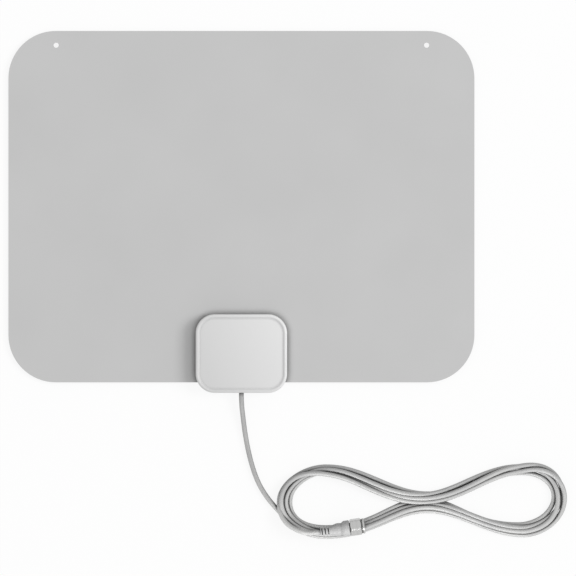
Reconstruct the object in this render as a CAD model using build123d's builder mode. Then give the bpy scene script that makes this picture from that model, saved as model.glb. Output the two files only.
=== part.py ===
from build123d import *
import os
from math import cos, hypot, pi, radians, sin, sqrt, tan

# Flat indoor television antenna: a laminated sheet with foil elements inside, a terminal
# pod at the middle of its lower edge, and a coaxial cable in a loose hank with a screw-on plug.
# The antenna lies on its back. +X runs along the sheet's width and +Y up the sheet.
# +Z points out of its front face, and z = 0 is the table under the rear cover.
# All sizes are in millimetres and all angles in degrees.

# Sheet
sheet_width = 305.0
sheet_height = 230.0
sheet_corner = 31.0
film_thickness = 0.4
hang_hole_diameter = 3.4
hang_hole_spacing = 242.5
hang_hole_drop = 9.3

# Foil loops laminated between the two films
foil_thickness = 0.1
foil_band = 14.0
foil_gap = 12.0
foil_side_margin = 14.0
foil_top_margin = 22.0
foil_bottom_margin = 14.0
foil_inner_corner = 8.0
foil_pocket_gap = 0.2
foil_screw_gap = 1.0

# Terminal pod
pod_width = 60.0
pod_length = 51.6
pod_corner = 12.6
pod_overhang = 6.9
pod_wall = 1.6
pod_draft = 1.5
pod_headroom = 0.35
face_thickness = 1.6
rim_width = 1.7
rim_outer_radius = 1.0
rim_inner_radius = 0.4
dish_depth = 0.9
dish_slope_width = 1.1
dish_blend = 0.9
rear_cover_thickness = 2.0
rear_edge_radius = 0.8
sheet_edge_gap = 0.3
cover_fit_gap = 0.15

# Cover screws, countersunk into the rear cover
screw_side_inset = 5.6
screw_upper_inset = 7.2
screw_lower_inset = 15.0
screw_shank_radius = 1.1
screw_head_radius = 2.0
screw_head_angle = 90.0
screw_head_recess = 0.15
screw_length = 7.0
screw_tip_length = 1.2
screw_tip_radius = 0.3
screw_slot_length = 2.2
screw_slot_width = 0.5
screw_slot_depth = 0.6
screw_hole_gap = 0.2
screw_thread_gap = 0.05
screw_end_gap = 0.5
boss_wall = 1.5

# Matching circuit board, staked on pegs inside the front cover
board_thickness = 1.0
board_corner = 1.5
board_side_gap = 2.8
board_lower_gap = 3.0
board_upper_gap = 7.6
peg_radius = 1.0
peg_gap = 0.1
peg_inset = 3.5
peg_proud = 0.4
peg_shoulder = 1.0

# Spring contacts from the board down to the foil
contact_width = 3.0
contact_thickness = 0.2
contact_upper_leg = 4.0
contact_lower_leg = 2.6
contact_offset = 4.0
contact_window_gap = 0.9

# Two-hole ferrite core with its windings, and the chip parts beside it
core_width = 7.0
core_height = 3.4
core_length = 6.0
core_hole_radius = 0.9
core_hole_offset = 1.75
core_offset = 2.0
wire_radius = 0.2
wire_level_offset = 0.4
wire_lead_reach = 1.6
wire_loop_reach = 0.9
chip_length = 2.0
chip_width = 1.25
chip_height = 0.6
chip_spacing_x = 16.0
chip_spacing_y = 6.0

# Coaxial cable and its stripped end on the board
cable_diameter = 3.2
cable_bend_share = 0.45
conductor_radius = 0.25
dielectric_radius = 0.85
braid_thickness = 0.25
coax_fit_gap = 0.03
braid_length = 9.0
dielectric_lead = 1.6
conductor_lead = 3.0
board_slot_gap = 0.15
clamp_thickness = 0.3
clamp_length = 3.0
clamp_foot = 2.2
clamp_set_back = 1.2

# Moulded collar that holds the cable in the pod's lower wall
collar_neck_radius = 2.6
collar_flange_step = 0.7
collar_flange_length = 2.0
collar_tail_radius = 1.9
collar_tail_length = 1.5
collar_recess = 0.2
collar_gap = 0.1
collar_floor_gap = 0.35
tongue_rise = 1.8
tongue_side_gap = 0.1
lip_length = 9.0
lip_thickness = 1.2
lip_height = 2.4
lip_spacing = 28.0

# Screw-on coaxial plug, lying across the hank
plug_angle = 8.4
plug_rear_x = 51.8
plug_rear_y = -209.1
plug_clearance = 0.4
plug_fit_gap = 0.03
pin_radius = 0.5
pin_tail_radius = 0.3
pin_tip_chamfer = 0.2
pin_recess = 0.4
insulator_radius = 2.3
neck_wall = 0.8
barrel_wall = 1.2
barrel_depth = 9.0
flange_gap = 0.3
flange_thickness = 1.4

# Moulded boot of the plug
relief_length = 6.2
relief_radius = 2.9
relief_groove_count = 3
relief_groove_width = 0.8
relief_groove_depth = 0.9
shoulder_length = 4.4
boot_wall = 0.7
boot_neck_length = 2.2
boot_waist_length = 0.9
boot_waist_depth = 0.3
boot_edge_radius = 0.6
grip_wall = 1.6
grip_shoulder_length = 1.8
grip_length = 3.7

# Coupling nut of the plug
nut_sides = 6
nut_across_flats = 10.2
nut_wall = 0.7
nut_corner_trim = 0.3
nut_chamfer = 0.6
nut_hex_length = 7.2
nut_groove_length = 0.9
nut_groove_depth = 0.4
nut_collar_length = 1.2
nut_collar_edge = 0.3
nut_lip_thickness = 1.2
nut_running_gap = 0.08
nut_end_gap = 0.4
nut_end_play = 0.2
nut_turn = 12.0

# Hank of the cable, beside and below the pod
hank_centre_x = 118.0
hank_centre_y = -189.4
hank_half_length = 95.2
hank_half_height = 24.7
hank_lobe_offset = 63.5
hank_waist_half_height = 7.0
hank_bundle_width = 9.5
hank_opening_end = 14.0
hank_opening_slope = 0.3

# Places of the sheet and its holes
body_length = sheet_height + pod_overhang
sheet_top_y = body_length / 2
sheet_bottom_y = sheet_top_y - sheet_height
sheet_centre_y = sheet_top_y - sheet_height / 2
sheet_back_z = rear_cover_thickness
sheet_split_z = sheet_back_z + film_thickness
sheet_front_z = sheet_split_z + film_thickness
hang_hole_y = sheet_top_y - hang_hole_drop
hang_hole_points = [(side * hang_hole_spacing / 2, hang_hole_y) for side in (-1, 1)]
foil_width = sheet_width / 2 - foil_side_margin - foil_gap / 2
foil_height = sheet_height - foil_top_margin - foil_bottom_margin
foil_centre_x = foil_gap / 2 + foil_width / 2
foil_centre_y = sheet_bottom_y + foil_bottom_margin + foil_height / 2

# Heights inside the pod, worked up from the rear cover
pod_bottom_y = -body_length / 2
pod_top_y = pod_bottom_y + pod_length
pod_centre_y = pod_bottom_y + pod_length / 2
collar_flange_radius = collar_neck_radius + collar_flange_step
cable_axis_z = rear_cover_thickness + collar_floor_gap + collar_flange_radius
board_top_z = cable_axis_z - conductor_radius
board_bottom_z = board_top_z - board_thickness
ceiling_z = max(board_top_z + core_height, cable_axis_z + collar_flange_radius) + pod_headroom
dish_floor_z = ceiling_z + face_thickness
pod_top_z = dish_floor_z + dish_depth

# Cover screws
screw_x = pod_width / 2 - screw_side_inset
screw_heights = (pod_bottom_y + screw_lower_inset, pod_top_y - screw_upper_inset)
screw_points = [(side * screw_x, y) for side in (-1, 1) for y in screw_heights]
screw_hole_radius = screw_shank_radius + screw_hole_gap
screw_head_depth = (screw_head_radius - screw_shank_radius) / tan(radians(screw_head_angle / 2))
screw_head_end = screw_head_recess + screw_head_depth
screw_end = screw_head_recess + screw_length
pilot_depth = screw_end + screw_end_gap - sheet_front_z
boss_radius = screw_shank_radius + boss_wall

# Cable collar and the stripped end of the cable
cable_radius = cable_diameter / 2
braid_radius = dielectric_radius + coax_fit_gap + braid_thickness
wall_lean = tan(radians(pod_draft)) * (cable_axis_z + collar_flange_radius - sheet_back_z)
collar_flange_start = pod_wall + wall_lean + collar_gap
collar_flange_end = collar_flange_start + collar_flange_length
collar_length = collar_flange_end + collar_tail_length
collar_end_y = pod_bottom_y + collar_length
dielectric_length = braid_length + dielectric_lead
conductor_length = dielectric_length + conductor_lead
braid_end_y = collar_end_y + braid_length
dielectric_end_y = collar_end_y + dielectric_length

# Circuit board and the parts on it
board_width = 2 * (screw_x - boss_radius - board_side_gap)
board_low_y = collar_end_y + board_lower_gap
board_high_y = pod_top_y - pod_wall - board_upper_gap
board_length = board_high_y - board_low_y
board_centre_y = (board_low_y + board_high_y) / 2
peg_spacing_x = board_width - 2 * peg_inset
peg_spacing_y = board_length - 2 * peg_inset
peg_points = [
    (side * peg_spacing_x / 2, board_centre_y + end * peg_spacing_y / 2)
    for side in (-1, 1)
    for end in (-1, 1)
]
contact_x = foil_gap / 2 + foil_band / 2
contact_y = pod_centre_y + contact_offset
contact_points = [(side * contact_x, contact_y) for side in (-1, 1)]
contact_bend_radius = (board_bottom_z - sheet_split_z) / 2
contact_foot_length = contact_lower_leg + contact_bend_radius
contact_window_radius = hypot(contact_foot_length, contact_width) / 2 + contact_window_gap
core_middle_y = board_centre_y + core_offset + core_length / 2
core_axis_z = board_top_z + core_height / 2

# Plug, along its own axis from the rear of its boot
barrel_radius = insulator_radius + barrel_wall
neck_radius = insulator_radius + neck_wall
boot_neck_radius = barrel_radius + boot_wall
boot_waist_radius = boot_neck_radius - boot_waist_depth
grip_radius = barrel_radius + grip_wall
nut_thread_radius = nut_across_flats / 2 - nut_wall
nut_corner_radius = nut_across_flats / 2 / cos(pi / nut_sides) - nut_corner_trim
nut_groove_radius = nut_across_flats / 2 - nut_groove_depth
flange_radius = nut_thread_radius - flange_gap
relief_groove_pitch = relief_length / relief_groove_count
shoulder_end = relief_length + shoulder_length
boot_neck_end = shoulder_end + boot_neck_length
grip_start = boot_neck_end + boot_waist_length + grip_shoulder_length
boot_length = grip_start + grip_length
barrel_start = boot_length - barrel_depth
nut_start = boot_length + nut_end_gap
nut_lip_end = nut_start + nut_lip_thickness
nut_hex_end = nut_start + nut_hex_length
nut_collar_start = nut_hex_end + nut_groove_length
nut_end = nut_collar_start + nut_collar_length
flange_start = nut_lip_end + nut_end_play
flange_end = flange_start + flange_thickness
pin_end = nut_end - pin_recess
hank_height = cable_diameter * (1 + sqrt(3) / 2)
plug_axis_z = hank_height + max(nut_corner_radius, grip_radius) + plug_clearance
plug_rear = Vector(plug_rear_x, plug_rear_y, plug_axis_z)
plug_direction = Vector(cos(radians(plug_angle)), sin(radians(plug_angle)), 0)
plug_plane = Plane(origin=plug_rear, x_dir=plug_direction, z_dir=(0, 0, 1))
plug_axis = Axis(plug_rear, plug_direction)

# Route of the cable: from the pod down to the table and into the hank
tail_points = [
    (0.0, pod_bottom_y + collar_recess, cable_axis_z),
    (0.0, -124.6, cable_axis_z),
    (1.0, -134.0, 3.2),
    (2.7, -147.5, 1.7),
    (5.9, -163.0, 1.6),
    (10.6, -177.0, 1.6),
    (17.0, -187.4, 1.6),
    (24.4, -195.9, 1.6),
    (31.6, -203.0, 1.6),
]

# Route of its other end: out of the hank, up over the first stretch and into the plug
lead_straight = 7.4
lead_points = [
    (24.6, -188.5, 3.0),
    (25.0, -196.8, 5.4),
    (29.6, -204.2, 8.0),
    (37.1, -208.4, 10.8),
    plug_rear - plug_direction * lead_straight,
    plug_rear,
]


def sheet_outline():
    """Draw the sheet with its hang holes and the holes that the cover screws pass through."""
    with Locations((0, sheet_centre_y)):
        RectangleRounded(sheet_width, sheet_height, sheet_corner)
    with Locations(*hang_hole_points):
        Circle(hang_hole_diameter / 2, mode=Mode.SUBTRACT)
    with Locations(*screw_points):
        Circle(screw_hole_radius, mode=Mode.SUBTRACT)


def foil_loop(side, growth=0.0):
    """Draw one foil loop, on the left half (-1) or the right half (+1), clear of the screws."""
    outer_corner = foil_inner_corner + foil_band + growth
    inner_width = foil_width - 2 * foil_band - 2 * growth
    inner_height = foil_height - 2 * foil_band - 2 * growth
    with Locations((side * foil_centre_x, foil_centre_y)):
        RectangleRounded(foil_width + 2 * growth, foil_height + 2 * growth, outer_corner)
        RectangleRounded(inner_width, inner_height, foil_inner_corner - growth, mode=Mode.SUBTRACT)
    with Locations(*screw_points):
        Circle(screw_hole_radius + foil_screw_gap - growth, mode=Mode.SUBTRACT)


def pod_outline(inset=0.0):
    """Draw the pod's rounded outline, drawn in from its foot by the inset."""
    with Locations((0, pod_centre_y)):
        RectangleRounded(pod_width - 2 * inset, pod_length - 2 * inset, pod_corner - inset)


def cord_tube(points):
    """Sweep the cable's section along straight runs joined by the largest tangent arcs."""
    corners = [Vector(point) for point in points]
    runs = [after - before for before, after in zip(corners, corners[1:])]
    radii = []
    for run, next_run in zip(runs, runs[1:]):
        half_turn = radians(run.get_angle(next_run) / 2)
        radii.append(cable_bend_share * min(run.length, next_run.length) / tan(half_turn))
    print("cord radii:", [round(radius, 1) for radius in radii])
    with BuildLine() as path:
        FilletPolyline(*corners, radius=radii)
    with BuildSketch(Plane(origin=corners[0], z_dir=runs[0])) as section:
        Circle(cable_radius)
    sweep(section.sketch, path=path.wire())
    print("cord length:", round(path.wire().length, 1))


def turned(*points, mode=Mode.ADD):
    """Turn a profile of (distance along the plug, radius) points about the plug's axis."""
    with BuildSketch(plug_plane) as profile:
        with BuildLine():
            Polyline(*points, close=True)
        make_face()
    revolve(profile.sketch, axis=plug_axis, mode=mode)


# Rear film, pocketed for the two foil loops
with BuildPart() as rear_film:
    with BuildSketch(Plane.XY.offset(sheet_back_z)):
        sheet_outline()
    extrude(amount=film_thickness)
    with BuildSketch(Plane.XY.offset(sheet_split_z)):
        foil_loop(-1, foil_pocket_gap)
        foil_loop(1, foil_pocket_gap)
    extrude(amount=-foil_thickness, mode=Mode.SUBTRACT)

# Front film, with a window over each foil terminal
with BuildPart() as front_film:
    with BuildSketch(Plane.XY.offset(sheet_split_z)):
        sheet_outline()
        with Locations(*contact_points):
            Circle(contact_window_radius, mode=Mode.SUBTRACT)
    extrude(amount=film_thickness)

# Foil loops, one to each half of the sheet
with BuildPart() as left_foil_loop:
    with BuildSketch(Plane.XY.offset(sheet_split_z - foil_thickness)):
        foil_loop(-1)
    extrude(amount=foil_thickness)

with BuildPart() as right_foil_loop:
    with BuildSketch(Plane.XY.offset(sheet_split_z - foil_thickness)):
        foil_loop(1)
    extrude(amount=foil_thickness)

# Front cover: a drafted shell with a rounded rim round a dished face
with BuildPart() as front_cover:
    with BuildSketch(Plane.XY.offset(sheet_back_z)):
        pod_outline()
    extrude(amount=pod_top_z - sheet_back_z, taper=pod_draft)
    fillet(front_cover.faces().sort_by(Axis.Z)[-1].edges(), rim_outer_radius)
    with BuildSketch(Plane.XY.offset(pod_top_z)):
        pod_outline(rim_width)
    with BuildSketch(Plane.XY.offset(dish_floor_z)):
        pod_outline(rim_width + dish_slope_width)
    loft(mode=Mode.SUBTRACT)
    dish_floor = front_cover.faces().filter_by(Axis.Z).sort_by(Axis.Z)[-2]
    fillet(dish_floor.edges(), dish_blend)
    rim_land = front_cover.faces().filter_by(Axis.Z).sort_by(Axis.Z)[-1]
    fillet(rim_land.inner_wires()[0].edges(), rim_inner_radius)
    with BuildSketch(Plane.XY.offset(sheet_back_z)):
        pod_outline(pod_wall)
    extrude(amount=ceiling_z - sheet_back_z, taper=pod_draft, mode=Mode.SUBTRACT)
    # Screw bosses with their pilot holes
    with BuildSketch(Plane.XY.offset(sheet_front_z)):
        with Locations(*screw_points):
            Circle(boss_radius)
    extrude(amount=ceiling_z - sheet_front_z)
    with BuildSketch(Plane.XY.offset(sheet_front_z)):
        with Locations(*screw_points):
            Circle(screw_shank_radius + screw_thread_gap)
    extrude(amount=pilot_depth, mode=Mode.SUBTRACT)
    # Shouldered pegs that carry the circuit board
    with BuildSketch(Plane.XY.offset(board_top_z)):
        with Locations(*peg_points):
            Circle(peg_radius + peg_shoulder)
    extrude(amount=ceiling_z - board_top_z)
    with BuildSketch(Plane.XY.offset(board_top_z)):
        with Locations(*peg_points):
            Circle(peg_radius)
    extrude(amount=-board_thickness - peg_proud)
    # Seat for the sheet, which runs in between the covers from above
    with BuildSketch(Plane.XY.offset(sheet_back_z)):
        with Locations((0, sheet_bottom_y - sheet_edge_gap)):
            Rectangle(2 * pod_width, pod_length, align=(Align.CENTER, Align.MIN))
    extrude(amount=sheet_front_z - sheet_back_z, mode=Mode.SUBTRACT)
    # Notch for the cable collar in the lower wall
    with BuildSketch(Plane.XZ.offset(-pod_bottom_y)):
        with Locations((0, cable_axis_z)):
            Circle(collar_neck_radius + collar_gap)
            Rectangle(
                2 * (collar_neck_radius + collar_gap),
                cable_axis_z - sheet_back_z,
                align=(Align.CENTER, Align.MAX),
            )
    extrude(amount=-collar_flange_start, mode=Mode.SUBTRACT)

# Rear cover: a plate with countersunk screw holes and a tongue that closes the cable notch
with BuildPart() as rear_cover:
    with BuildSketch():
        pod_outline()
    extrude(amount=rear_cover_thickness)
    fillet(rear_cover.faces().sort_by(Axis.Z)[0].edges(), rear_edge_radius)
    with Locations(*[Location((x, y, 0), (180, 0, 0)) for x, y in screw_points]):
        CounterSinkHole(
            screw_hole_radius,
            screw_head_radius + screw_hole_gap + screw_head_recess,
            depth=rear_cover_thickness,
            counter_sink_angle=screw_head_angle,
        )
    with BuildSketch(Plane.XZ.offset(-pod_bottom_y - cover_fit_gap)):
        with Locations((0, rear_cover_thickness)):
            Rectangle(
                2 * (collar_neck_radius + collar_gap - tongue_side_gap),
                tongue_rise,
                align=(Align.CENTER, Align.MIN),
            )
        with Locations((0, cable_axis_z)):
            Circle(collar_neck_radius + collar_gap, mode=Mode.SUBTRACT)
    extrude(amount=cover_fit_gap - pod_wall)
    lip_y = pod_bottom_y + pod_wall + cover_fit_gap + lip_thickness / 2
    with BuildSketch(Plane.XY.offset(rear_cover_thickness)):
        with Locations((-lip_spacing / 2, lip_y), (lip_spacing / 2, lip_y)):
            Rectangle(lip_length, lip_thickness)
    extrude(amount=lip_height)

# Cover screws, with pointed tips and crossed driver slots
with BuildPart() as cover_screws:
    for x, y in screw_points:
        with BuildSketch(Plane(origin=(x, y, 0), x_dir=(1, 0, 0), z_dir=(0, -1, 0))):
            with BuildLine():
                Polyline(
                    (0, screw_head_recess),
                    (screw_head_radius, screw_head_recess),
                    (screw_shank_radius, screw_head_end),
                    (screw_shank_radius, screw_end - screw_tip_length),
                    (screw_tip_radius, screw_end),
                    (0, screw_end),
                    close=True,
                )
            make_face()
        revolve(axis=Axis((x, y, 0), (0, 0, 1)))
    with BuildSketch(Plane.XY.offset(screw_head_recess)):
        with Locations(*screw_points):
            Rectangle(screw_slot_length, screw_slot_width)
            Rectangle(screw_slot_width, screw_slot_length)
    extrude(amount=screw_slot_depth, mode=Mode.SUBTRACT)

# Circuit board, slotted at its lower edge for the stripped cable
with BuildPart() as circuit_board:
    with BuildSketch(Plane.XY.offset(board_bottom_z)):
        with Locations((0, board_centre_y)):
            RectangleRounded(board_width, board_length, board_corner)
        with Locations(*peg_points):
            Circle(peg_radius + peg_gap, mode=Mode.SUBTRACT)
        with Locations((0, board_low_y)):
            Rectangle(
                2 * (braid_radius + board_slot_gap),
                2 * (dielectric_end_y + board_slot_gap - board_low_y),
                mode=Mode.SUBTRACT,
            )
    extrude(amount=board_thickness)


def spring_contact(side):
    """Fold one strip that bears on the board above it and on the foil below it."""
    bend_y = contact_y + contact_foot_length / 2 - contact_bend_radius
    with BuildSketch(Plane.YZ.offset(side * contact_x)) as strip:
        with Locations((bend_y, sheet_split_z + contact_bend_radius)):
            Circle(contact_bend_radius)
            Circle(contact_bend_radius - contact_thickness, mode=Mode.SUBTRACT)
            Rectangle(
                contact_bend_radius,
                2 * contact_bend_radius,
                align=(Align.MAX, Align.CENTER),
                mode=Mode.SUBTRACT,
            )
        with Locations((bend_y, sheet_split_z)):
            Rectangle(contact_lower_leg, contact_thickness, align=(Align.MAX, Align.MIN))
        with Locations((bend_y, board_bottom_z)):
            Rectangle(contact_upper_leg, contact_thickness, align=(Align.MAX, Align.MAX))
    extrude(strip.sketch, amount=contact_width / 2, both=True)


# Spring contacts, one to each foil loop
with BuildPart() as left_contact:
    spring_contact(-1)

with BuildPart() as right_contact:
    spring_contact(1)

# Two-hole ferrite core of the matching transformer
with BuildPart() as balun_core:
    with BuildSketch(Plane.XZ.offset(-core_middle_y)):
        with Locations((0, core_axis_z)):
            SlotOverall(core_width, core_height)
        with Locations((-core_hole_offset, core_axis_z), (core_hole_offset, core_axis_z)):
            Circle(core_hole_radius, mode=Mode.SUBTRACT)
    extrude(amount=core_length / 2, both=True)

# Transformer windings: one hairpin of wire from each end of the core
with BuildPart() as balun_windings:
    for end in (-1, 1):
        wire_z = core_axis_z + end * wire_level_offset
        lead_y = core_middle_y + end * (core_length / 2 + wire_lead_reach)
        loop_y = core_middle_y - end * (core_length / 2 + wire_loop_reach)
        with BuildLine():
            Polyline(
                (-core_hole_offset, lead_y, board_top_z),
                (-core_hole_offset, lead_y, wire_z),
                (-core_hole_offset, loop_y, wire_z),
                (core_hole_offset, loop_y, wire_z),
                (core_hole_offset, lead_y, wire_z),
                (core_hole_offset, lead_y, board_top_z),
            )
        with BuildSketch(Plane.XY.offset(board_top_z)):
            with Locations((-core_hole_offset, lead_y)):
                Circle(wire_radius)
        sweep(transition=Transition.RIGHT)

# Chip parts in two pairs, one each side of the core
with BuildPart() as chip_parts:
    with BuildSketch(Plane((0, core_middle_y, board_top_z))):
        with GridLocations(chip_spacing_x, chip_spacing_y, 2, 2):
            Rectangle(chip_length, chip_width)
    extrude(amount=chip_height)

# Collar moulded round the cable, caught behind the pod's lower wall
with BuildPart() as cable_collar:
    with BuildSketch(Plane(origin=(0, pod_bottom_y, cable_axis_z), x_dir=(0, 1, 0), z_dir=(1, 0, 0))):
        with BuildLine():
            Polyline(
                (collar_recess, 0),
                (collar_recess, collar_neck_radius),
                (collar_flange_start, collar_neck_radius),
                (collar_flange_start, collar_flange_radius),
                (collar_flange_end, collar_flange_radius),
                (collar_length, collar_tail_radius),
                (collar_length, 0),
                close=True,
            )
        make_face()
    revolve(axis=Axis((0, 0, cable_axis_z), (0, 1, 0)))


def coax_layer(outer_radius, length, inner_radius=None):
    """Extrude one layer of the stripped cable from the collar towards the board."""
    with BuildSketch(Plane.XZ.offset(-collar_end_y)) as layer:
        with Locations((0, cable_axis_z)):
            Circle(outer_radius)
            if inner_radius:
                Circle(inner_radius, mode=Mode.SUBTRACT)
    extrude(layer.sketch, amount=-length)


# Stripped end of the cable: braid, dielectric and centre conductor
with BuildPart() as coax_braid:
    coax_layer(braid_radius, braid_length, dielectric_radius + coax_fit_gap)

with BuildPart() as coax_dielectric:
    coax_layer(dielectric_radius, dielectric_length, conductor_radius + coax_fit_gap)

with BuildPart() as coax_conductor:
    coax_layer(conductor_radius, conductor_length)

# Folded saddle that grounds the braid to the board
with BuildPart() as braid_clamp:
    saddle_radius = braid_radius + coax_fit_gap
    with BuildSketch(Plane.XZ.offset(clamp_set_back - braid_end_y)):
        with Locations((0, cable_axis_z)):
            Circle(saddle_radius + clamp_thickness)
        with Locations((0, board_top_z)):
            Rectangle(
                2 * (saddle_radius + clamp_thickness + clamp_foot),
                clamp_thickness,
                align=(Align.CENTER, Align.MIN),
            )
            Rectangle(
                2 * (saddle_radius + clamp_thickness),
                2 * saddle_radius,
                align=(Align.CENTER, Align.MAX),
                mode=Mode.SUBTRACT,
            )
        with Locations((0, cable_axis_z)):
            Circle(saddle_radius, mode=Mode.SUBTRACT)
    extrude(amount=clamp_length)

# Plain solids of the cable: its two free stretches and the hank between them
with BuildPart() as cable_tail:
    cord_tube(tail_points)

with BuildPart() as cable_lead:
    cord_tube(lead_points)

with BuildPart() as cable_hank:
    lobe_length = hank_half_length - hank_lobe_offset
    inner_half_height = hank_half_height - hank_bundle_width
    waist = Vector(0, hank_waist_half_height)
    shoulder = Vector(hank_lobe_offset, hank_half_height)
    bend = (waist + shoulder) / 2
    with BuildSketch(Plane((hank_centre_x, hank_centre_y, 0))):
        with BuildLine():
            waist_arc = TangentArc(waist, bend, tangent=(1, 0))
            TangentArc(bend, shoulder, tangent=waist_arc % 1)
            EllipticalCenterArc(
                (hank_lobe_offset, 0), lobe_length, hank_half_height, start_angle=0, arc_size=90
            )
            mirror(about=Plane.XZ)
            Line(waist, (0, -hank_waist_half_height))
        make_face()
        with BuildLine():
            EllipticalCenterArc(
                (hank_lobe_offset, 0),
                lobe_length - hank_bundle_width,
                inner_half_height,
                start_angle=0,
                arc_size=90,
            )
            Spline(
                (hank_lobe_offset, inner_half_height),
                (hank_opening_end, 0),
                tangents=[(-1, 0), (-1, -hank_opening_slope)],
            )
            mirror(about=Plane.XZ)
        make_face(mode=Mode.SUBTRACT)
        mirror(about=Plane.YZ)
    extrude(amount=hank_height)

# Moulded boot of the plug, with a ringed strain relief and a waisted grip
with BuildPart() as plug_boot:
    with BuildSketch(plug_plane) as boot_outline:
        with BuildLine():
            Polyline(
                (0, 0),
                (0, relief_radius),
                (relief_length, relief_radius),
                (shoulder_end, boot_neck_radius),
                (boot_neck_end, boot_neck_radius),
                (boot_neck_end + boot_waist_length, boot_waist_radius),
                (grip_start, grip_radius),
                (boot_length, grip_radius),
                (boot_length, barrel_radius + plug_fit_gap),
                (barrel_start, barrel_radius + plug_fit_gap),
                (barrel_start, 0),
                close=True,
            )
        make_face()
        bulge_corners = [corner for corner in boot_outline.vertices() if corner.Y > boot_waist_radius]
        fillet(bulge_corners, boot_edge_radius)
    revolve(axis=plug_axis)
    for groove in range(relief_groove_count):
        groove_start = (groove + 1 / 2) * relief_groove_pitch - relief_groove_width / 2
        turned(
            (groove_start, relief_radius - relief_groove_depth),
            (groove_start, relief_radius + relief_groove_depth),
            (groove_start + relief_groove_width, relief_radius + relief_groove_depth),
            (groove_start + relief_groove_width, relief_radius - relief_groove_depth),
            mode=Mode.SUBTRACT,
        )

# Metal body of the plug: a barrel gripped by the boot, a neck and a flange for the nut
with BuildPart() as plug_body:
    bore_radius = insulator_radius + plug_fit_gap
    turned(
        (barrel_start, bore_radius),
        (barrel_start, barrel_radius),
        (boot_length, barrel_radius),
        (boot_length, neck_radius),
        (flange_start, neck_radius),
        (flange_start, flange_radius),
        (flange_end, flange_radius),
        (flange_end, bore_radius),
    )

# Insulator and centre pin of the plug
with BuildPart() as plug_insulator:
    turned(
        (barrel_start, pin_tail_radius + plug_fit_gap),
        (barrel_start, insulator_radius),
        (flange_end, insulator_radius),
        (flange_end, pin_tail_radius + plug_fit_gap),
    )

with BuildPart() as plug_pin:
    turned(
        (barrel_start, 0),
        (barrel_start, pin_tail_radius),
        (flange_end, pin_tail_radius),
        (flange_end, pin_radius),
        (pin_end - pin_tip_chamfer, pin_radius),
        (pin_end, pin_radius - pin_tip_chamfer),
        (pin_end, 0),
    )

# Coupling nut: a hexagon with a turned collar, free to spin behind the body's flange
with BuildPart() as coupling_nut:
    with BuildSketch(
        Plane(plug_rear + plug_direction * nut_start, x_dir=(0, 0, 1), z_dir=plug_direction)
    ):
        RegularPolygon(nut_across_flats / 2, nut_sides, major_radius=False, rotation=nut_turn)
    extrude(amount=nut_hex_length)
    turned(
        (nut_start, 0),
        (nut_start, nut_corner_radius - nut_chamfer),
        (nut_start + nut_chamfer, nut_corner_radius),
        (nut_hex_end - nut_chamfer, nut_corner_radius),
        (nut_hex_end, nut_corner_radius - nut_chamfer),
        (nut_hex_end, 0),
        mode=Mode.INTERSECT,
    )
    turned(
        (nut_hex_end, 0),
        (nut_hex_end, nut_groove_radius),
        (nut_collar_start, nut_groove_radius),
        (nut_collar_start, nut_across_flats / 2),
        (nut_end - nut_collar_edge, nut_across_flats / 2),
        (nut_end, nut_across_flats / 2 - nut_collar_edge),
        (nut_end, 0),
    )
    turned(
        (nut_start, 0),
        (nut_start, neck_radius + nut_running_gap),
        (nut_lip_end, neck_radius + nut_running_gap),
        (nut_lip_end, nut_thread_radius),
        (nut_end, nut_thread_radius),
        (nut_end, 0),
        mode=Mode.SUBTRACT,
    )

# One file for each piece
pieces = {
    "rear_film": rear_film,
    "front_film": front_film,
    "left_foil_loop": left_foil_loop,
    "right_foil_loop": right_foil_loop,
    "front_cover": front_cover,
    "rear_cover": rear_cover,
    "cover_screws": cover_screws,
    "circuit_board": circuit_board,
    "left_contact": left_contact,
    "right_contact": right_contact,
    "balun_core": balun_core,
    "balun_windings": balun_windings,
    "chip_parts": chip_parts,
    "cable_collar": cable_collar,
    "coax_braid": coax_braid,
    "coax_dielectric": coax_dielectric,
    "coax_conductor": coax_conductor,
    "braid_clamp": braid_clamp,
    "cable_tail": cable_tail,
    "cable_lead": cable_lead,
    "cable_hank": cable_hank,
    "plug_boot": plug_boot,
    "plug_body": plug_body,
    "plug_insulator": plug_insulator,
    "plug_pin": plug_pin,
    "coupling_nut": coupling_nut,
}
os.makedirs("parts", exist_ok=True)
for name, piece in pieces.items():
    piece.part.label = name
    export_step(piece.part, f"parts/{name}.step")
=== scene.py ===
import math

import bpy
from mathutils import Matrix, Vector


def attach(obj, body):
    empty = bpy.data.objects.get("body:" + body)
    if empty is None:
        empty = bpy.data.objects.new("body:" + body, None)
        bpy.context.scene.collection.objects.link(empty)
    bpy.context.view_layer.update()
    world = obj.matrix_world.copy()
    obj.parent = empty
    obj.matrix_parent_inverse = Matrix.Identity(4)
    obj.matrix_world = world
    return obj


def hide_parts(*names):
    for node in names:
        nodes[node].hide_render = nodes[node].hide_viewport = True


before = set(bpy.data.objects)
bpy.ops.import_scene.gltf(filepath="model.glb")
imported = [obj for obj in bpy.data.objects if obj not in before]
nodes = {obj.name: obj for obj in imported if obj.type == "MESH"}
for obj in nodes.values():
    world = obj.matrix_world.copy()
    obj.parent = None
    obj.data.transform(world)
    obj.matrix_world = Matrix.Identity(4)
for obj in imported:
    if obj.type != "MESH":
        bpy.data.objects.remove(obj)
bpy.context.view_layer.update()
bpy.ops.object.select_all(action="DESELECT")

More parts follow.
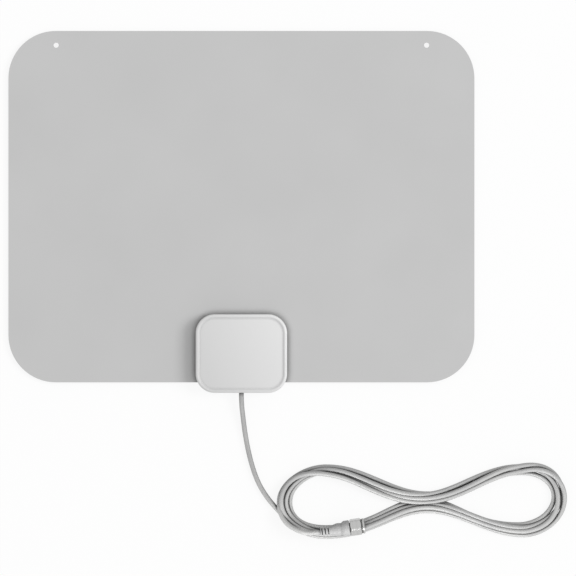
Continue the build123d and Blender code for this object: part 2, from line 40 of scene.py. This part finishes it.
# The view is a catalogue shot of an antenna that lies on its back.
# A long lens looks straight down on it, so the sheet stays a true rectangle.
view_width = 0.377
view_centre = Vector((0.0305, -0.0498))
lens_distance = 3.0
sheet_face = 0.0028
camera_data = bpy.data.cameras.new("catalogue_camera")
camera_data.sensor_width = 36.0
camera_data.lens = camera_data.sensor_width * (lens_distance - sheet_face) / view_width
camera = bpy.data.objects.new("catalogue_camera", camera_data)
camera.location = (view_centre.x, view_centre.y, lens_distance)
bpy.context.collection.objects.link(camera)
bpy.context.scene.camera = camera

# The cable is thin coax in a soft grey PVC jacket, 1.77 m from the pod to the plug.
# It leaves the pod's lower wall, drops to the table and is wound four times into a flat hank
# that is pinched at its waist; the last turn climbs out over the tail and into the plug.
cable_diameter = 0.0032
tail_points = [
    (0.0, -0.11825, 0.00565),
    (0.0, -0.1246, 0.00565),
    (0.001, -0.134, 0.0032),
    (0.0027, -0.1475, 0.0017),
    (0.0059, -0.163, 0.0016),
    (0.0106, -0.177, 0.0016),
    (0.017, -0.1874, 0.0016),
    (0.0244, -0.1959, 0.0016),
    (0.0316, -0.203, 0.0016),
]
lead_points = [
    (0.0246, -0.1885, 0.003),
    (0.025, -0.1968, 0.0054),
    (0.0296, -0.2042, 0.008),
    (0.0371, -0.2084, 0.0108),
    (0.044479, -0.210181, 0.01196),
    (0.0518, -0.2091, 0.01196),
]

waist_x = 0.11949
lobe_reach = 0.06414
lobe_half_height = 0.0204
waist_half_height = 0.00366
left_bow = 0.0278
right_bow = 0.0244
hank_y = -0.1891
waist_sag = 0.0014
hank_lean = 0.0005
right_rise = 0.002


def hank_run(x, side):
    """A point of the hank's middle line on its lower run (side -1) or its upper run (side 1)."""
    pinch = (1 + math.cos(math.pi * (x - waist_x) / lobe_reach)) / 2
    half_height = lobe_half_height - (lobe_half_height - waist_half_height) * pinch
    middle = hank_y - waist_sag * pinch + hank_lean * (x - waist_x) / lobe_reach
    return Vector((x, middle + side * half_height))


# A turn of the hank has 16 stations. It starts in the middle of the left end, goes to the right
# along the bottom and comes back along the top.
turn_stations = 16
lower_waist = 4
right_end = 8
upper_waist = 12
lobe_stations = 2
station_angle = math.radians(45)


def hank_line(station):
    """A point of the hank's middle line at a station."""
    station = station % turn_stations
    if abs(station - lower_waist) <= lobe_stations:
        return hank_run(waist_x + lobe_reach * (station - lower_waist) / lobe_stations, -1)
    if abs(station - upper_waist) <= lobe_stations:
        return hank_run(waist_x + lobe_reach * (upper_waist - station) / lobe_stations, 1)
    if abs(station - right_end) < lobe_stations:
        turn = station_angle * (station - right_end)
        middle = hank_run(waist_x + lobe_reach, 0)
        rise = right_rise * math.cos(turn)
        return middle + Vector((right_bow * math.cos(turn), lobe_half_height * math.sin(turn) + rise))
    turn = station_angle * (station if station < right_end else station - turn_stations)
    middle = hank_run(waist_x - lobe_reach, 0)
    return middle + Vector((-left_bow * math.cos(turn), -lobe_half_height * math.sin(turn)))


# Where each turn lies in the bundle at its stations, in cable diameters: outwards, then above the table.
# The rows of a turn start at the left end, the lower waist, the right end and the upper waist.
turn_lay = [
    [
        (0.9, 0.0), (0.85, 0.0), (0.85, 0.0), (1.05, 0.0),
        (0.38, 0.0), (0.42, 0.0), (0.85, 0.0), (1.18, 0.15),
        (1.15, 0.7), (0.72, 0.95), (-0.4, 0.9), (-0.93, 0.65),
        (-1.08, 0.8), (-1.42, 0.8), (-0.7, 1.2), (0.5, 1.4),
    ],
    [
        (0.55, 1.25), (0.45, 1.2), (0.3, 0.86), (0.65, 0.86),
        (-0.35, 0.78), (-0.08, 0.8), (0.1, 0.7), (0.3, 0.95),
        (-0.22, 0.9), (0.03, 0.45), (0.55, 0.0), (0.85, 0.3),
        (0.5, 0.85), (-0.08, 0.65), (0.25, 0.6), (-0.33, 0.58),
    ],
    [
        (-0.42, 0.72), (-0.3, 0.75), (0.0, 0.0), (0.0, 0.4),
        (-1.05, 0.3), (-0.85, 0.85), (-0.65, 0.6), (-0.3, 0.32),
        (0.58, 0.0), (1.22, 0.0), (0.68, 0.9), (-0.18, 1.0),
        (-0.3, 1.05), (-0.8, 0.35), (-0.25, 0.0), (-0.95, 0.0),
    ],
    [
        (-1.26, 0.0), (-0.8, 0.0), (-1.0, 0.0), (-0.68, 0.0),
        (-2.0, 0.0), (-0.72, 0.0), (-1.3, 0.0), (-1.15, 0.0),
        (-1.0, 0.0), (-0.97, 0.0), (-0.75, 0.0), (-0.18, 0.0),
        (0.65, 0.0), (0.92, 0.0), (0.8, 0.0), (0.6, 0.1),
    ],
]
lead_lay = (0.95, 0.44)
first_station = 1.5
points_per_station = 3
heading_step = 0.01


def eased(before, start, end, after, share):
    """A value a share of the way from start to end that also keeps the trend of the values round them."""
    return (start + share / 2 * (end - before)
            + share ** 2 * (before - 2.5 * start + 2 * end - after / 2)
            + share ** 3 * (1.5 * (start - end) + (after - before) / 2))


lay = [place for turn in turn_lay for place in turn] + [lead_lay, lead_lay, lead_lay]
first_point = int(first_station * points_per_station)
end_point = turn_stations * len(turn_lay) * points_per_station
hank_points = []
for number in range(first_point, end_point):
    station = number / points_per_station
    start = int(station)
    outward, upward = [
        eased(lay[start - 1][way], lay[start][way], lay[start + 1][way], lay[start + 2][way], station - start)
        for way in (0, 1)
    ]
    heading = (hank_line(station + heading_step) - hank_line(station - heading_step)).normalized()
    place = hank_line(station) + Vector((heading.y, -heading.x)) * outward * cable_diameter
    hank_points.append((place.x, place.y, cable_diameter * (0.5 + max(upward, 0.0))))

cable_curve = bpy.data.curves.new("cable", "CURVE")
cable_curve.dimensions = "3D"
cable_curve.resolution_u = 5
cable_curve.bevel_depth = 1.0
cable_curve.bevel_resolution = 5
cable_curve.use_fill_caps = True
cable_route = tail_points + hank_points + lead_points
cable_line = cable_curve.splines.new("NURBS")
cable_line.points.add(len(cable_route) - 1)
for point, place in zip(cable_line.points, cable_route):
    point.co = (*place, 1.0)
    point.radius = cable_diameter / 2
cable_line.order_u = 3
cable_line.use_endpoint_u = True
cable = bpy.data.objects.new("cable", cable_curve)
bpy.context.collection.objects.link(cable)
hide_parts("cable_tail", "cable_hank", "cable_lead")
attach(cable, "antenna")


def colour(code):
    """A colour written as an sRGB hex code, in the linear values that a shader takes."""
    parts = [int(code[place:place + 2], 16) / 255 for place in (1, 3, 5)]
    return (*[part / 12.92 if part <= 0.04045 else ((part + 0.055) / 1.055) ** 2.4 for part in parts], 1.0)


def add(tree, kind, inputs=None, stops=(), **settings):
    """Adds a node with its settings. An input takes a value, or an output of another node.
    A colour ramp's two stops are each a position and a colour."""
    node = tree.nodes.new("ShaderNode" + kind)
    for name, value in settings.items():
        setattr(node, name, value)
    for number, (position, code) in enumerate(stops):
        node.color_ramp.elements[number].position = position
        node.color_ramp.elements[number].color = colour(code)
    for name, value in (inputs or {}).items():
        if isinstance(value, bpy.types.NodeSocket):
            tree.links.new(value, node.inputs[name])
        else:
            node.inputs[name].default_value = value
    return node


def start_material(name):
    """A material with no nodes yet: gives the material and its tree."""
    material = bpy.data.materials.new(name)
    material.use_nodes = True
    material.node_tree.nodes.clear()
    return material, material.node_tree


def end_material(tree, inputs):
    """Adds a principled shader with these inputs, and the material's output."""
    shader = add(tree, "BsdfPrincipled", inputs)
    add(tree, "OutputMaterial", {"Surface": shader.outputs["BSDF"]})


def dress(piece, material):
    """Gives a piece this one material."""
    piece.data.materials.clear()
    piece.data.materials.append(material)


def per_metre(size_mm):
    """A texture scale at which one cell of the pattern is this many millimetres."""
    return 1000.0 / size_mm


def shaded_in_corners(tree, unshaded, reach_mm, shade_colour, filled=0.46, free=0.92):
    """A colour with painted shade: it darkens in corners narrower than the reach, where shade would fall.
    The painted shade is full where this share of the view out is open (filled), and ends at the other (free)."""
    # Painted shade: the ambient occlusion darkens the colour in close corners.
    opening = add(tree, "AmbientOcclusion", {"Distance": reach_mm / 1000}, samples=8).outputs["AO"]
    corner_shade = add(tree, "ValToRGB", {"Fac": opening}, stops=[(filled, shade_colour), (free, "#FFFFFF")]).outputs["Color"]
    return add(tree, "VectorMath", {0: unshaded, 1: corner_shade}, operation="MULTIPLY").outputs["Vector"]


# Soft PVC jacket, extruded: a low sheen, with a slight drag pattern and uneven greying from handling.
# The length by the pod has painted shade that makes it a shade greyer, and painted shade darkens the crevices
# between the turns.
pod_side = (-1.0, 1.0, 0.0)
tail_shade_start = -0.218
tail_shade_full = -0.205
tail_shade_level = 0.78
jacket, tree = start_material("extruded_soft_pvc_jacket")
place = add(tree, "TexCoord").outputs["Object"]
handling = add(tree, "TexNoise", {"Vector": place, "Scale": per_metre(22), "Detail": 3.0}).outputs["Fac"]
greying = add(tree, "ValToRGB", {"Fac": handling}, stops=[(0.3, "#939393"), (0.7, "#9F9F9E")])
# Painted shade: the jacket's colour is darkened along the length next to the pod.
from_pod = add(tree, "VectorMath", {0: place, 1: pod_side}, operation="DOT_PRODUCT").outputs["Value"]
tail_painted_shade = add(tree, "MapRange", {"Value": from_pod, "From Min": tail_shade_start, "From Max": tail_shade_full,
                                "To Min": 1.0, "To Max": tail_shade_level}).outputs["Result"]
jacket_grey = add(tree, "VectorMath", {0: greying.outputs["Color"], "Scale": tail_painted_shade},
                  operation="SCALE").outputs["Vector"]
drag = add(tree, "TexNoise", {"Vector": place, "Scale": per_metre(1.1), "Detail": 2.0}).outputs["Fac"]
sheen = add(tree, "MapRange", {"Value": drag, "To Min": 0.36, "To Max": 0.5}).outputs["Result"]
grain = add(tree, "Bump", {"Height": drag, "Strength": 0.12, "Distance": 0.0001}).outputs["Normal"]
end_material(tree, {
    "Base Color": shaded_in_corners(tree, jacket_grey, reach_mm=4.0, shade_colour="#7C7C7C"),
    "Roughness": sheen,
    "Normal": grain,
    "IOR": 1.53,
})
dress(cable, jacket)
for name in ("cable_tail", "cable_hank", "cable_lead", "cable_collar"):
    dress(nodes[name], jacket)

# The sheet is two films of grey PET, laminated over the foil, cut round at the corners and punched
# with two hang holes. Its face is calendered to a fine even matte, and painted shade darkens it round the
# pod, as a shadow would.
film, tree = start_material("calendered_matte_pet_film")
place = add(tree, "TexCoord").outputs["Object"]
cloud = add(tree, "TexNoise", {"Vector": place, "Scale": per_metre(60), "Detail": 2.0}).outputs["Fac"]
tint = add(tree, "ValToRGB", {"Fac": cloud}, stops=[(0.3, "#C2C2C2"), (0.7, "#C5C5C5")]).outputs["Color"]
matte = add(tree, "TexNoise", {"Vector": place, "Scale": per_metre(0.9), "Detail": 3.0}).outputs["Fac"]
sheen = add(tree, "MapRange", {"Value": matte, "To Min": 0.55, "To Max": 0.68}).outputs["Result"]
grain = add(tree, "Bump", {"Height": matte, "Strength": 0.1, "Distance": 0.0001}).outputs["Normal"]
end_material(tree, {
    # Painted shade: the sheet's colour darkens round the pod and other close corners.
    "Base Color": shaded_in_corners(tree, tint, reach_mm=5.0, shade_colour="#A0A0A0"),
    "Roughness": sheen,
    "Normal": grain,
    "IOR": 1.5,
    "Specular IOR Level": 0.3,
})
dress(nodes["front_film"], film)
dress(nodes["rear_film"], film)

# Two loops of soft aluminium foil between the films take up the signal.
# Rolling leaves fine lines along the foil and a satin glow.
foil, tree = start_material("rolled_soft_aluminium_foil")
place = add(tree, "TexCoord").outputs["Object"]
stretched = add(tree, "Mapping", {"Vector": place, "Scale": (1.0, 0.04, 1.0)}).outputs["Vector"]
rolling = add(tree, "TexNoise", {"Vector": stretched, "Scale": per_metre(0.6), "Detail": 2.0}).outputs["Fac"]
tint = add(tree, "ValToRGB", {"Fac": rolling}, stops=[(0.0, "#C9CACC"), (1.0, "#DADBDC")]).outputs["Color"]
sheen = add(tree, "MapRange", {"Value": rolling, "To Min": 0.28, "To Max": 0.42}).outputs["Result"]
end_material(tree, {"Base Color": tint, "Roughness": sheen, "Metallic": 1.0})
dress(nodes["left_foil_loop"], foil)
dress(nodes["right_foil_loop"], foil)

# The pod is a two-part ABS housing, moulded in pale grey and clamped on both sides of the sheet. Its colour
# has painted light: lighter to the right and darker to the lower left, as light falls on it, and painted
# shade darkens the corner inside its rim. The spark-eroded mould leaves a fine satin grain, drawn coarser
# than real so that it shows.
painted_light_direction = (1.0, 0.45, 0.0)
painted_dark_end = -0.07
painted_light_end = -0.01
pod_abs, tree = start_material("spark_grained_moulded_abs")
place = add(tree, "TexCoord").outputs["Object"]
# Painted light: the colour is lighter to the right and darker to the lower left.
along = add(tree, "VectorMath", {0: place, 1: painted_light_direction}, operation="DOT_PRODUCT").outputs["Value"]
painted_light_fall = add(tree, "MapRange", {"Value": along, "From Min": painted_dark_end, "From Max": painted_light_end}).outputs["Result"]
tint = add(tree, "ValToRGB", {"Fac": painted_light_fall}, stops=[(0.0, "#D0D0D0"), (1.0, "#E2E2E2")]).outputs["Color"]
spark = add(tree, "TexNoise", {"Vector": place, "Scale": per_metre(0.7), "Detail": 3.0}).outputs["Fac"]
sheen = add(tree, "MapRange", {"Value": spark, "To Min": 0.34, "To Max": 0.46}).outputs["Result"]
grain = add(tree, "Bump", {"Height": spark, "Strength": 0.08, "Distance": 0.0001}).outputs["Normal"]
end_material(tree, {
    "Base Color": shaded_in_corners(tree, tint, reach_mm=1.5, shade_colour="#D8D8D8", filled=0.86, free=0.99),
    "Roughness": sheen,
    "Normal": grain,
    "IOR": 1.54,
})
dress(nodes["front_cover"], pod_abs)
dress(nodes["rear_cover"], pod_abs)

# Four small countersunk screws of zinc-plated steel hold the covers together through the sheet.
# Zinc is a cool satin grey with a soft patchy lustre.
zinc, tree = start_material("zinc_plated_steel")
place = add(tree, "TexCoord").outputs["Object"]
bloom = add(tree, "TexNoise", {"Vector": place, "Scale": per_metre(0.8), "Detail": 3.0}).outputs["Fac"]
tint = add(tree, "ValToRGB", {"Fac": bloom}, stops=[(0.0, "#A9ACAE"), (1.0, "#C6C8C9")]).outputs["Color"]
sheen = add(tree, "MapRange", {"Value": bloom, "To Min": 0.26, "To Max": 0.4}).outputs["Result"]
end_material(tree, {"Base Color": tint, "Roughness": sheen, "Metallic": 1.0})
dress(nodes["cover_screws"], zinc)

# The matching board is glass-cloth epoxy under green solder mask, staked on pegs inside the front cover.
# The cloth's weave shows faintly through.
mask, tree = start_material("solder_masked_glass_epoxy")
place = add(tree, "TexCoord").outputs["Object"]
thread_scale = per_metre(0.6) / (2 * math.pi)
warp = add(tree, "TexWave", {"Vector": place, "Scale": thread_scale, "Distortion": 0.3},
           bands_direction="X").outputs["Fac"]
weft = add(tree, "TexWave", {"Vector": place, "Scale": thread_scale, "Distortion": 0.3},
           bands_direction="Y").outputs["Fac"]
weave = add(tree, "Math", {0: warp, 1: weft}, operation="MULTIPLY").outputs["Value"]
tint = add(tree, "ValToRGB", {"Fac": weave}, stops=[(0.0, "#1F5A2E"), (1.0, "#2A6E3A")]).outputs["Color"]
grain = add(tree, "Bump", {"Height": weave, "Strength": 0.1, "Distance": 0.00005}).outputs["Normal"]
end_material(tree, {"Base Color": tint, "Roughness": 0.32, "Normal": grain})
dress(nodes["circuit_board"], mask)

# The chip parts are small blocks of fired ceramic, soldered to the board.
# They are tan and slightly speckled.
ceramic, tree = start_material("fired_chip_ceramic")
place = add(tree, "TexCoord").outputs["Object"]
speckle = add(tree, "TexNoise", {"Vector": place, "Scale": per_metre(0.3), "Detail": 3.0}).outputs["Fac"]
tint = add(tree, "ValToRGB", {"Fac": speckle}, stops=[(0.0, "#A08D73"), (1.0, "#BBA88C")]).outputs["Color"]
end_material(tree, {"Base Color": tint, "Roughness": 0.55})
dress(nodes["chip_parts"], ceramic)

# Sprung contacts and the braid's clamp are pressed from thin brass strip.
# The strip keeps its rolling lines, some brighter than others.
brass, tree = start_material("pressed_brass_strip")
place = add(tree, "TexCoord").outputs["Object"]
stretched = add(tree, "Mapping", {"Vector": place, "Scale": (1.0, 0.1, 1.0)}).outputs["Vector"]
rolling = add(tree, "TexNoise", {"Vector": stretched, "Scale": per_metre(0.4), "Detail": 2.0}).outputs["Fac"]
tint = add(tree, "ValToRGB", {"Fac": rolling}, stops=[(0.0, "#D2B46A"), (1.0, "#E6CD86")]).outputs["Color"]
sheen = add(tree, "MapRange", {"Value": rolling, "To Min": 0.25, "To Max": 0.38}).outputs["Result"]
end_material(tree, {"Base Color": tint, "Roughness": sheen, "Metallic": 1.0})
for name in ("left_contact", "right_contact", "braid_clamp"):
    dress(nodes[name], brass)

# The balun's core is a block of ferrite with two holes, pressed and sintered, that sits on the board.
# It is dark, matte and faintly grainy.
ferrite, tree = start_material("sintered_ferrite")
place = add(tree, "TexCoord").outputs["Object"]
sinter = add(tree, "TexNoise", {"Vector": place, "Scale": per_metre(0.3), "Detail": 4.0}).outputs["Fac"]
tint = add(tree, "ValToRGB", {"Fac": sinter}, stops=[(0.0, "#2A2A2C"), (1.0, "#3B3B3D")]).outputs["Color"]
grain = add(tree, "Bump", {"Height": sinter, "Strength": 0.2, "Distance": 0.00005}).outputs["Normal"]
end_material(tree, {"Base Color": tint, "Roughness": 0.7, "Normal": grain})
dress(nodes["balun_core"], ferrite)

# The windings are enamelled copper wire, wound by hand through the core's two holes.
# The clear amber enamel is glossy, and its tint varies along the wire.
enamel, tree = start_material("enamelled_copper_wire")
place = add(tree, "TexCoord").outputs["Object"]
varnish = add(tree, "TexNoise", {"Vector": place, "Scale": per_metre(1.2), "Detail": 2.0}).outputs["Fac"]
tint = add(tree, "ValToRGB", {"Fac": varnish}, stops=[(0.0, "#A85A2C"), (1.0, "#C8743C")]).outputs["Color"]
end_material(tree, {"Base Color": tint, "Roughness": 0.22, "Metallic": 0.8})
dress(nodes["balun_windings"], enamel)

# The cable's stripped end shows its layers: a tinned braid, a foamed white core and the copper conductor.
# The braid is two crossing sets of fine wires.
braid, tree = start_material("tinned_copper_braid")
place = add(tree, "TexCoord").outputs["Object"]
turned = add(tree, "Mapping", {"Vector": place, "Scale": (-1.0, 1.0, 1.0)}).outputs["Vector"]
wire_scale = per_metre(0.35) / (2 * math.pi)
right_lay, left_lay = [
    add(tree, "TexWave", {"Vector": way, "Scale": wire_scale}, bands_direction="DIAGONAL").outputs["Fac"]
    for way in (place, turned)
]
plait = add(tree, "Math", {0: right_lay, 1: left_lay}, operation="MAXIMUM").outputs["Value"]
tint = add(tree, "ValToRGB", {"Fac": plait}, stops=[(0.0, "#77787A"), (1.0, "#C2C3C5")]).outputs["Color"]
grain = add(tree, "Bump", {"Height": plait, "Strength": 0.4, "Distance": 0.0001}).outputs["Normal"]
end_material(tree, {"Base Color": tint, "Roughness": 0.35, "Metallic": 1.0, "Normal": grain})
dress(nodes["coax_braid"], braid)

# Foamed polyethylene keeps the conductor in the middle of the cable, and the pin in the middle of the plug.
# It is waxy white, with fine cells.
foam, tree = start_material("foamed_polyethylene")
place = add(tree, "TexCoord").outputs["Object"]
cells = add(tree, "TexVoronoi", {"Vector": place, "Scale": per_metre(0.35)}).outputs["Distance"]
tint = add(tree, "ValToRGB", {"Fac": cells}, stops=[(0.0, "#F2F1EC"), (1.0, "#E4E2DA")]).outputs["Color"]
end_material(tree, {"Base Color": tint, "Roughness": 0.42, "IOR": 1.5})
dress(nodes["coax_dielectric"], foam)
dress(nodes["plug_insulator"], foam)

# The centre conductor and the plug's pin are copper wire, drawn bright through a die.
# Air has tarnished it a little unevenly.
copper, tree = start_material("drawn_copper")
place = add(tree, "TexCoord").outputs["Object"]
tarnish = add(tree, "TexNoise", {"Vector": place, "Scale": per_metre(0.9), "Detail": 3.0}).outputs["Fac"]
tint = add(tree, "ValToRGB", {"Fac": tarnish}, stops=[(0.0, "#B9744E"), (1.0, "#DB9A70")]).outputs["Color"]
sheen = add(tree, "MapRange", {"Value": tarnish, "To Min": 0.2, "To Max": 0.34}).outputs["Result"]
end_material(tree, {"Base Color": tint, "Roughness": sheen, "Metallic": 1.0})
dress(nodes["coax_conductor"], copper)
dress(nodes["plug_pin"], copper)

# The plug's boot is soft PVC, moulded over the cable's end: a ringed strain relief and a waisted grip.
# It is duller than the jacket, because its mould is sand-blasted, and painted shade darkens its grooves.
boot_pvc, tree = start_material("overmoulded_matte_pvc")
place = add(tree, "TexCoord").outputs["Object"]
blast = add(tree, "TexNoise", {"Vector": place, "Scale": per_metre(0.6), "Detail": 3.0}).outputs["Fac"]
tint = add(tree, "ValToRGB", {"Fac": blast}, stops=[(0.3, "#888888"), (0.7, "#9C9C9C")]).outputs["Color"]
sheen = add(tree, "MapRange", {"Value": blast, "To Min": 0.5, "To Max": 0.64}).outputs["Result"]
grain = add(tree, "Bump", {"Height": blast, "Strength": 0.3, "Distance": 0.0001}).outputs["Normal"]
end_material(tree, {
    # Painted shade: the boot's colour darkens in its grooves.
    "Base Color": shaded_in_corners(tree, tint, reach_mm=1.2, shade_colour="#3C3C3C"),
    "Roughness": sheen,
    "Normal": grain,
    "IOR": 1.53,
})
dress(nodes["plug_boot"], boot_pvc)

# The plug's body and its coupling nut are turned brass under bright nickel, a warm silver.
# The tool leaves fine rings round the axis, and painted shade darkens the groove behind the nut's collar and
# other close corners.
plug_axis = Vector((0.9892723, 0.146083, 0.0))
nickel, tree = start_material("nickel_plated_turned_brass")
place = add(tree, "TexCoord").outputs["Object"]
along = add(tree, "VectorMath", {0: place, 1: plug_axis}, operation="DOT_PRODUCT").outputs["Value"]
rings = add(tree, "TexNoise", {"W": along, "Scale": per_metre(0.8), "Detail": 2.0},
            noise_dimensions="1D").outputs["Fac"]
tint = add(tree, "ValToRGB", {"Fac": rings}, stops=[(0.0, "#B3B3B2"), (1.0, "#C5C5C4")]).outputs["Color"]
sheen = add(tree, "MapRange", {"Value": rings, "To Min": 0.18, "To Max": 0.28}).outputs["Result"]
grain = add(tree, "Bump", {"Height": rings, "Strength": 0.05, "Distance": 0.00005}).outputs["Normal"]
end_material(tree, {
    # Painted shade: the metal's colour darkens in the groove and close corners.
    "Base Color": shaded_in_corners(tree, tint, reach_mm=2.0, shade_colour="#1C1C1C", filled=0.7, free=0.97),
    "Roughness": sheen,
    "Normal": grain,
    "Metallic": 1.0,
})
dress(nodes["plug_body"], nickel)
dress(nodes["coupling_nut"], nickel)

# The table is plain white card. The camera, and metal that mirrors it, see it almost as white light,
# and a part of its real shading stays, so that the antenna keeps a faint shadow.
floor_size = 6.0
white_share = 0.88


def seen_rays(tree):
    """One for the rays that show a thing to the eye, straight, mirrored or through glass; zero for others."""
    path = add(tree, "LightPath").outputs
    mirrored = add(tree, "Math", {0: path["Is Camera Ray"], 1: path["Is Glossy Ray"]}, operation="MAXIMUM")
    seen = add(tree, "Math", {0: mirrored.outputs["Value"], 1: path["Is Transmission Ray"]},
               operation="MAXIMUM")
    return seen.outputs["Value"]


bpy.ops.mesh.primitive_plane_add(size=floor_size, location=(0.0, 0.0, 0.0))
table = bpy.context.object
table.name = "white_table"
card, tree = start_material("white_card")
share = add(tree, "Math", {0: seen_rays(tree), 1: white_share}, operation="MULTIPLY").outputs["Value"]
shaded = add(tree, "BsdfDiffuse", {"Color": colour("#F4F4F4")}).outputs["BSDF"]
glow = add(tree, "Emission", {"Color": colour("#FFFFFF"), "Strength": 1.0}).outputs["Emission"]
surface = add(tree, "MixShader", {"Fac": share, 1: shaded, 2: glow}).outputs["Shader"]
add(tree, "OutputMaterial", {"Surface": surface})
dress(table, card)

# One large soft box stands to the right of the antenna. A small one below its lower edge lights the cable
# and the plug alone, and the white room fills the rest from all sides.
room_strength = 0.71


def soft_box(name, place, aim, size, power):
    """A square area lamp at this place, aimed at a point of the antenna: gives the lamp's stand."""
    lamp = bpy.data.lights.new(name, "AREA")
    lamp.shape = "SQUARE"
    lamp.size = size
    lamp.energy = power
    stand = bpy.data.objects.new(name, lamp)
    stand.location = place
    stand.rotation_euler = (aim - place).to_track_quat("-Z", "Y").to_euler()
    stand.visible_camera = False
    bpy.context.collection.objects.link(stand)
    return stand


soft_box("right_soft_box", place=Vector((4.4, 0.6, 3.9)), aim=Vector((0.03, -0.1, 0.0)),
         size=2.5, power=154.0)
cable_soft_box = soft_box("cable_soft_box", place=Vector((-0.1, -0.95, 0.6)), aim=Vector((0.115, -0.19, 0.0)),
                          size=0.45, power=11.5)
cable_and_plug = bpy.data.collections.new("cable_and_plug")
for piece in (cable, nodes["plug_boot"], nodes["plug_body"], nodes["coupling_nut"]):
    cable_and_plug.objects.link(piece)
cable_soft_box.light_linking.receiver_collection = cable_and_plug

room = bpy.data.worlds.new("white_room")
room.use_nodes = True
tree = room.node_tree
tree.nodes.clear()
strength = add(tree, "MapRange", {"Value": seen_rays(tree), "To Min": room_strength,
                                  "To Max": 1.0}).outputs["Result"]
white = add(tree, "Background", {"Color": colour("#FFFFFF"), "Strength": strength}).outputs["Background"]
add(tree, "OutputWorld", {"Surface": white})
bpy.context.scene.world = room
bpy.context.scene.view_settings.view_transform = "Standard"

bpy.context.view_layer.update()
